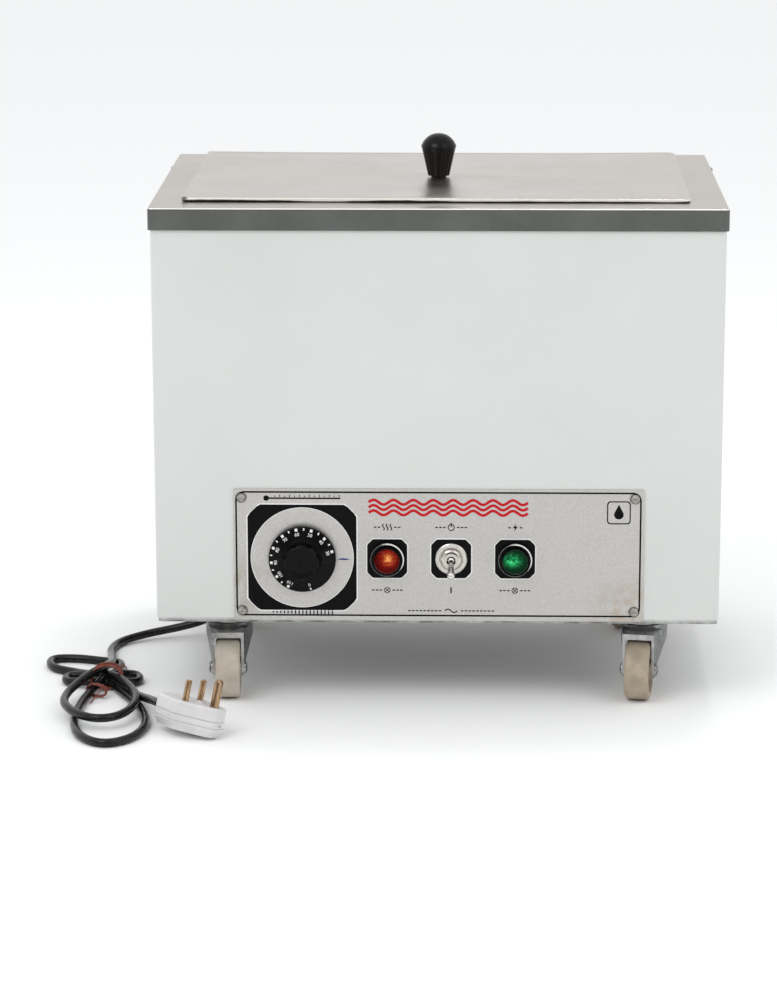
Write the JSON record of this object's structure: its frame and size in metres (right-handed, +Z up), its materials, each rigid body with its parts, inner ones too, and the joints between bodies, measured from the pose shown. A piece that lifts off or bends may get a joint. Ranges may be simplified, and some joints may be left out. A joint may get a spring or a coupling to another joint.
{
  "type": "paraffin wax bath",
  "caption": "Cabinet on swivel casters holding a heated stainless wax tank under a lift-off lid, with a thermostat dial, lamps, a toggle switch and a tied mains lead.",
  "frame": {"origin": "on the floor, under the middle of the object's box without its lead and plug", "axes": "+X to the right of the front, along the cabinet's width; +Y to the back; +Z up"},
  "size_m": [0.5724, 0.4354, 0.4499],
  "materials": {
    "white_enamel": "satin",
    "stainless": "brushed",
    "dark_screw": "satin",
    "bright_screw": "satin",
    "glass_wool": "matte",
    "spreader_aluminium": "satin",
    "heater_sheath": "matte",
    "copper": "satin",
    "white_ceramic": "matte",
    "black_phenolic": "satin",
    "fascia_aluminium": "satin",
    "red_lens": "gloss",
    "green_lens": "gloss",
    "chrome": "polished",
    "black_rubber": "matte",
    "wire_insulation": "matte",
    "red_twine": "matte",
    "white_plastic": "satin",
    "brass": "satin",
    "zinc_plate": "satin",
    "wheel_nylon": "matte"
  },
  "bodies": {
    "cabinet": {"base_panel": "white_enamel", "body_screws": "dark_screw", "bulb_clip": "heater_sheath", "cabinet_shell": "white_enamel", "capillary_tube": "copper", "caster_bolts": "bright_screw", "caster_fl_plate": "zinc_plate", "caster_fr_plate": "zinc_plate", "caster_rl_plate": "zinc_plate", "caster_rr_plate": "zinc_plate", "control_panel": "fascia_aluminium", "cord_gland": "black_rubber", "cord_hank": "black_rubber", "cord_run": "black_rubber", "cord_tail": "black_rubber", "cord_tie": "red_twine", "earth_stud": "bright_screw", "green_lens": "green_lens", "heater_clamps": "heater_sheath", "heater_element": "heater_sheath", "heater_spreader": "spreader_aluminium", "hex_nuts": "bright_screw", "internal_wires": "wire_insulation", "lamp_bezels": "chrome", "lamp_bodies": "black_phenolic", "lamp_nuts": "chrome", "panel_screws": "bright_screw", "plug_body": "white_plastic", "plug_cover": "white_plastic", "plug_pins": "brass", "rear_panel": "white_enamel", "red_lens": "red_lens", "sensor_bulb": "copper", "small_screws": "bright_screw", "switch_body": "black_phenolic", "switch_nuts": "chrome", "switch_ring": "chrome", "tank_insulation": "glass_wool", "terminal_block": "white_ceramic", "thermostat_body": "black_phenolic", "top_cover": "stainless", "wax_tank": "stainless"},
    "lid": {"lid_sheet": "stainless", "lid_knob": "black_phenolic", "lid_knob_screw": "bright_screw"},
    "dial": {"thermostat_knob": "black_phenolic", "thermostat_shaft": "chrome"},
    "toggle": {"toggle_lever": "chrome"},
    "front_left_swivel": {"caster_fl_fork": "zinc_plate", "caster_fl_axle": "zinc_plate"},
    "front_left_roller": {"caster_fl_wheel": "wheel_nylon"},
    "front_right_swivel": {"caster_fr_fork": "zinc_plate", "caster_fr_axle": "zinc_plate"},
    "front_right_roller": {"caster_fr_wheel": "wheel_nylon"},
    "rear_left_swivel": {"caster_rl_fork": "zinc_plate", "caster_rl_axle": "zinc_plate"},
    "rear_left_roller": {"caster_rl_wheel": "wheel_nylon"},
    "rear_right_swivel": {"caster_rr_fork": "zinc_plate", "caster_rr_axle": "zinc_plate"},
    "rear_right_roller": {"caster_rr_wheel": "wheel_nylon"}
  },
  "joints": [
    {"name": "lid_lift", "type": "slide", "parent": "cabinet", "child": "lid", "axis": [0, 0, 1], "range_m": [0, 0.15]},
    {"name": "dial_turn", "type": "hinge", "parent": "cabinet", "child": "dial", "pos_m": [-0.1093, -0.1447, 0.1242], "axis": [0, 1, 0], "range_deg": [-74, 243]},
    {"name": "toggle_throw", "type": "hinge", "parent": "cabinet", "child": "toggle", "pos_m": [0.0112, -0.1437, 0.124], "axis": [-1, 0, 0], "range_deg": [0, 32]},
    {"name": "front_left_swivel_turn", "type": "hinge", "parent": "cabinet", "child": "front_left_swivel", "pos_m": [-0.173, -0.0942, 0.06], "axis": [0, 0, 1], "continuous": true},
    {"name": "front_left_wheel_roll", "type": "hinge", "parent": "front_left_swivel", "child": "front_left_roller", "pos_m": [-0.17223, -0.11619, 0.025], "axis": [0.9994, 0.0349, 0], "continuous": true},
    {"name": "front_right_swivel_turn", "type": "hinge", "parent": "cabinet", "child": "front_right_swivel", "pos_m": [0.169, -0.0942, 0.06], "axis": [0, 0, 1], "continuous": true},
    {"name": "front_right_wheel_roll", "type": "hinge", "parent": "front_right_swivel", "child": "front_right_roller", "pos_m": [0.16556, -0.11593, 0.025], "axis": [0.9877, -0.1564, 0], "continuous": true},
    {"name": "rear_left_swivel_turn", "type": "hinge", "parent": "cabinet", "child": "rear_left_swivel", "pos_m": [-0.173, 0.1218, 0.06], "axis": [0, 0, 1], "continuous": true},
    {"name": "rear_left_wheel_roll", "type": "hinge", "parent": "rear_left_swivel", "child": "rear_left_roller", "pos_m": [-0.17606, 0.10001, 0.025], "axis": [0.9903, -0.1392, 0], "continuous": true},
    {"name": "rear_right_swivel_turn", "type": "hinge", "parent": "cabinet", "child": "rear_right_swivel", "pos_m": [0.169, 0.1218, 0.06], "axis": [0, 0, 1], "continuous": true},
    {"name": "rear_right_wheel_roll", "type": "hinge", "parent": "rear_right_swivel", "child": "rear_right_roller", "pos_m": [0.16368, 0.10045, 0.025], "axis": [0.9703, -0.2419, 0], "continuous": true}
  ]
}
